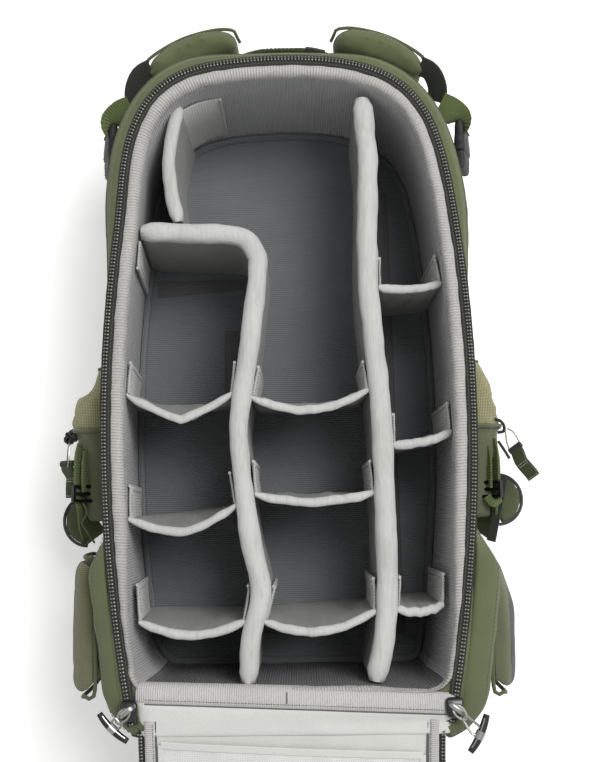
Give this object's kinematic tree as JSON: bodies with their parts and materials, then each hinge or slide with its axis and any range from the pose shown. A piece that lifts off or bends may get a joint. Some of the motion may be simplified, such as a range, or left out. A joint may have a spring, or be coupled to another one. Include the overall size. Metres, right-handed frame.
{
  "type": "camera backpack",
  "caption": "Rear-access camera backpack lying open on its front: padded divider bays, unzipped back panel folded out on its base hinge, harness, hip wings and side pockets.",
  "frame": {"origin": "centre of the flat front face that the bag lies on", "axes": "+Z out of the open compartment, +Y towards the head end (the carrying handle), +X to the right seen from above with the head end away"},
  "size_m": [0.4151, 1.0854, 0.1993],
  "materials": {
    "green_nylon": "dyed nylon oxford, light sheen",
    "green_webbing": "woven nylon webbing",
    "olive_mesh": "stretch mesh",
    "dark_mesh": "spacer mesh",
    "liner_grey": "ribbed loop fabric",
    "divider_grey": "brushed loop fabric over foam",
    "binding_grey": "fleece binding",
    "panel_lining": "plain nylon lining",
    "panel_mesh": "open knit mesh",
    "zipper_tape": "coated zipper tape",
    "zipper_teeth": "coil chain",
    "black_plastic": "moulded acetal",
    "steel": "nickel-plated",
    "stiffener": "polyethylene sheet",
    "base_nylon": "heavy nylon"
  },
  "bodies": {
    "pack_body": {"base_corner_left": "base_nylon", "base_corner_right": "base_nylon", "buckle_female_left": "black_plastic", "buckle_female_right": "black_plastic", "divider_centre": "divider_grey", "divider_corner": "divider_grey", "divider_left": "divider_grey", "divider_short_1": "divider_grey", "divider_short_2": "divider_grey", "divider_short_3": "divider_grey", "divider_short_4": "divider_grey", "divider_short_5": "divider_grey", "divider_short_6": "divider_grey", "divider_short_7": "divider_grey", "divider_short_8": "divider_grey", "divider_short_9": "divider_grey", "front_panel": "green_nylon", "front_pocket": "green_nylon", "front_zip_chain": "zipper_teeth", "grab_handle": "green_webbing", "gusset": "green_nylon", "head_bolster_left": "green_nylon", "head_bolster_right": "green_nylon", "hinge_piping": "binding_grey", "lash_strap_left": "green_webbing", "lash_strap_right": "green_webbing", "liner_floor": "liner_grey", "liner_wall": "liner_grey", "rim_binding": "binding_grey", "side_pocket_left": "olive_mesh", "side_pocket_right": "olive_mesh", "zipper_chain_body": "zipper_teeth", "zipper_tape_body": "zipper_tape"},
    "back_panel": {"panel_lining": "panel_lining", "frame_sheet": "stiffener", "panel_shell": "green_nylon", "zipper_tape_panel": "zipper_tape", "zipper_chain_panel": "zipper_teeth", "panel_mesh_pocket": "panel_mesh", "lumbar_pad": "dark_mesh", "back_pad": "dark_mesh"},
    "slider_left": {"zipper_slider_left": "steel"},
    "pull_left": {"slider_pull_left": "steel"},
    "side_buckle_left": {"buckle_male_left": "black_plastic"},
    "wing_left": {"hip_wing_left": "green_nylon", "hip_buckle_left": "black_plastic"},
    "hook_left": {"wire_hook_left": "steel"},
    "flap_left": {"side_flap_left": "green_nylon"},
    "strap_left": {"shoulder_strap_left": "dark_mesh"},
    "sternum_left": {"sternum_strap_left": "green_webbing"},
    "slider_right": {"zipper_slider_right": "steel"},
    "pull_right": {"slider_pull_right": "steel"},
    "side_buckle_right": {"buckle_male_right": "black_plastic"},
    "wing_right": {"hip_wing_right": "green_nylon", "hip_buckle_right": "black_plastic"},
    "hook_right": {"wire_hook_right": "steel"},
    "flap_right": {"side_flap_right": "green_nylon"},
    "strap_right": {"shoulder_strap_right": "dark_mesh"},
    "sternum_right": {"sternum_strap_right": "green_webbing"},
    "front_slider": {"front_zip_slider": "steel"}
  },
  "joints": [
    {"name": "back_panel_hinge", "type": "hinge", "parent": "pack_body", "child": "back_panel", "pos_m": [0, -0.27, 0.191], "axis": [-1, 0, 0], "range_deg": [0, 197.2]},
    {"name": "slider_left_travel", "type": "hinge", "parent": "pack_body", "child": "slider_left", "pos_m": [1.099, -0.035, 0.1927], "axis": [0, 0, -1], "range_deg": [0, 18.8]},
    {"name": "pull_left_flip", "type": "hinge", "parent": "slider_left", "child": "pull_left", "pos_m": [-0.12852, -0.271, 0.1965], "axis": [-0.6, 0.8, 0], "range_deg": [0, 110]},
    {"name": "side_buckle_left_release", "type": "slide", "parent": "pack_body", "child": "side_buckle_left", "axis": [0, -1, 0], "range_m": [0, 0.03]},
    {"name": "hip_wing_left_fold", "type": "hinge", "parent": "pack_body", "child": "wing_left", "pos_m": [-0.162, -0.212, 0.166], "axis": [0, 1, 0], "range_deg": [0, 120]},
    {"name": "wire_hook_left_swing", "type": "hinge", "parent": "pack_body", "child": "hook_left", "pos_m": [-0.1917, -0.05, 0.134], "axis": [0, 0, -1], "range_deg": [0, 70]},
    {"name": "side_flap_left_lift", "type": "hinge", "parent": "pack_body", "child": "flap_left", "pos_m": [-0.1816, -0.123, 0.0965], "axis": [0, 1, 0], "range_deg": [0, 80]},
    {"name": "shoulder_strap_left_swing", "type": "hinge", "parent": "back_panel", "child": "strap_left", "pos_m": [-0.048, -0.73748, 0.02724], "axis": [-1, 0, 0], "range_deg": [0, 60]},
    {"name": "sternum_left_slide", "type": "slide", "parent": "strap_left", "child": "sternum_left", "axis": [0.124, -0.9479, -0.2934], "range_m": [-0.02, 0.03]},
    {"name": "slider_right_travel", "type": "hinge", "parent": "pack_body", "child": "slider_right", "pos_m": [-1.099, -0.035, 0.1927], "axis": [0, 0, 1], "range_deg": [0, 18.8]},
    {"name": "pull_right_flip", "type": "hinge", "parent": "slider_right", "child": "pull_right", "pos_m": [0.12852, -0.271, 0.1965], "axis": [-0.6, -0.8, 0], "range_deg": [0, 110]},
    {"name": "side_buckle_right_release", "type": "slide", "parent": "pack_body", "child": "side_buckle_right", "axis": [0, -1, 0], "range_m": [0, 0.03]},
    {"name": "hip_wing_right_fold", "type": "hinge", "parent": "pack_body", "child": "wing_right", "pos_m": [0.162, -0.212, 0.166], "axis": [0, -1, 0], "range_deg": [0, 120]},
    {"name": "wire_hook_right_swing", "type": "hinge", "parent": "pack_body", "child": "hook_right", "pos_m": [0.1924, -0.05, 0.134], "axis": [0, 0, 1], "range_deg": [-4, 60]},
    {"name": "side_flap_right_lift", "type": "hinge", "parent": "pack_body", "child": "flap_right", "pos_m": [0.1862, -0.108, 0.0965], "axis": [0, -1, 0], "range_deg": [0, 80]},
    {"name": "shoulder_strap_right_swing", "type": "hinge", "parent": "back_panel", "child": "strap_right", "pos_m": [0.048, -0.73748, 0.02724], "axis": [-1, 0, 0], "range_deg": [0, 60]},
    {"name": "sternum_right_slide", "type": "slide", "parent": "strap_right", "child": "sternum_right", "axis": [-0.124, -0.9479, -0.2934], "range_m": [-0.02, 0.03]},
    {"name": "front_zip_travel", "type": "slide", "parent": "pack_body", "child": "front_slider", "axis": [1, 0, 0], "range_m": [0, 0.17]}
  ]
}
